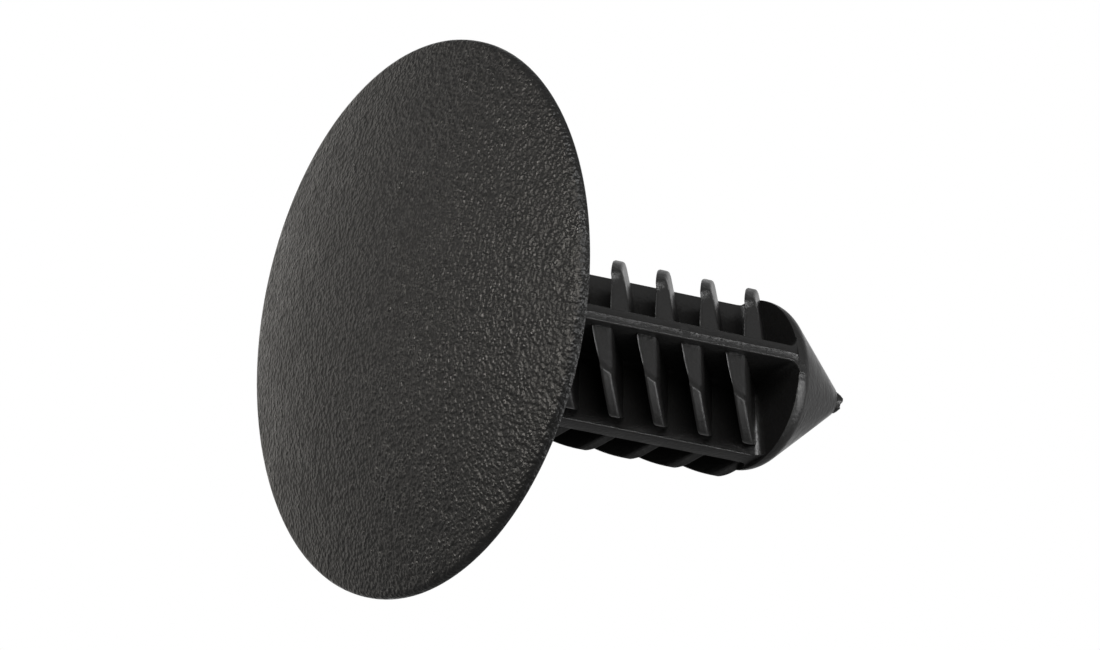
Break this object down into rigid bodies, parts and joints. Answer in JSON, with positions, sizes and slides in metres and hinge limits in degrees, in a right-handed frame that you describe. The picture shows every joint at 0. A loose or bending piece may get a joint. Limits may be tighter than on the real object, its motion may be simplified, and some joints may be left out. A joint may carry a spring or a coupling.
{
  "type": "push rivet",
  "caption": "One-piece plastic push rivet: a wide shallow domed head on a cross-shaped shank with swept-back barbs and a pointed nose, pushed into a round panel hole to hold panels or trim.",
  "frame": {"origin": "crown of the domed head, where the rivet standing on its head touches the surface", "axes": "+Z along the shank from the head to the pointed nose; X in the mould's parting plane; Y along the mould's opening direction"},
  "size_m": [0.025, 0.025, 0.0253],
  "materials": {
    "black_nylon": "moulded black nylon, finely grained on the head, satin on the shank"
  },
  "bodies": {
    "root": {"push_rivet": "black_nylon"}
  },
  "joints": []
}
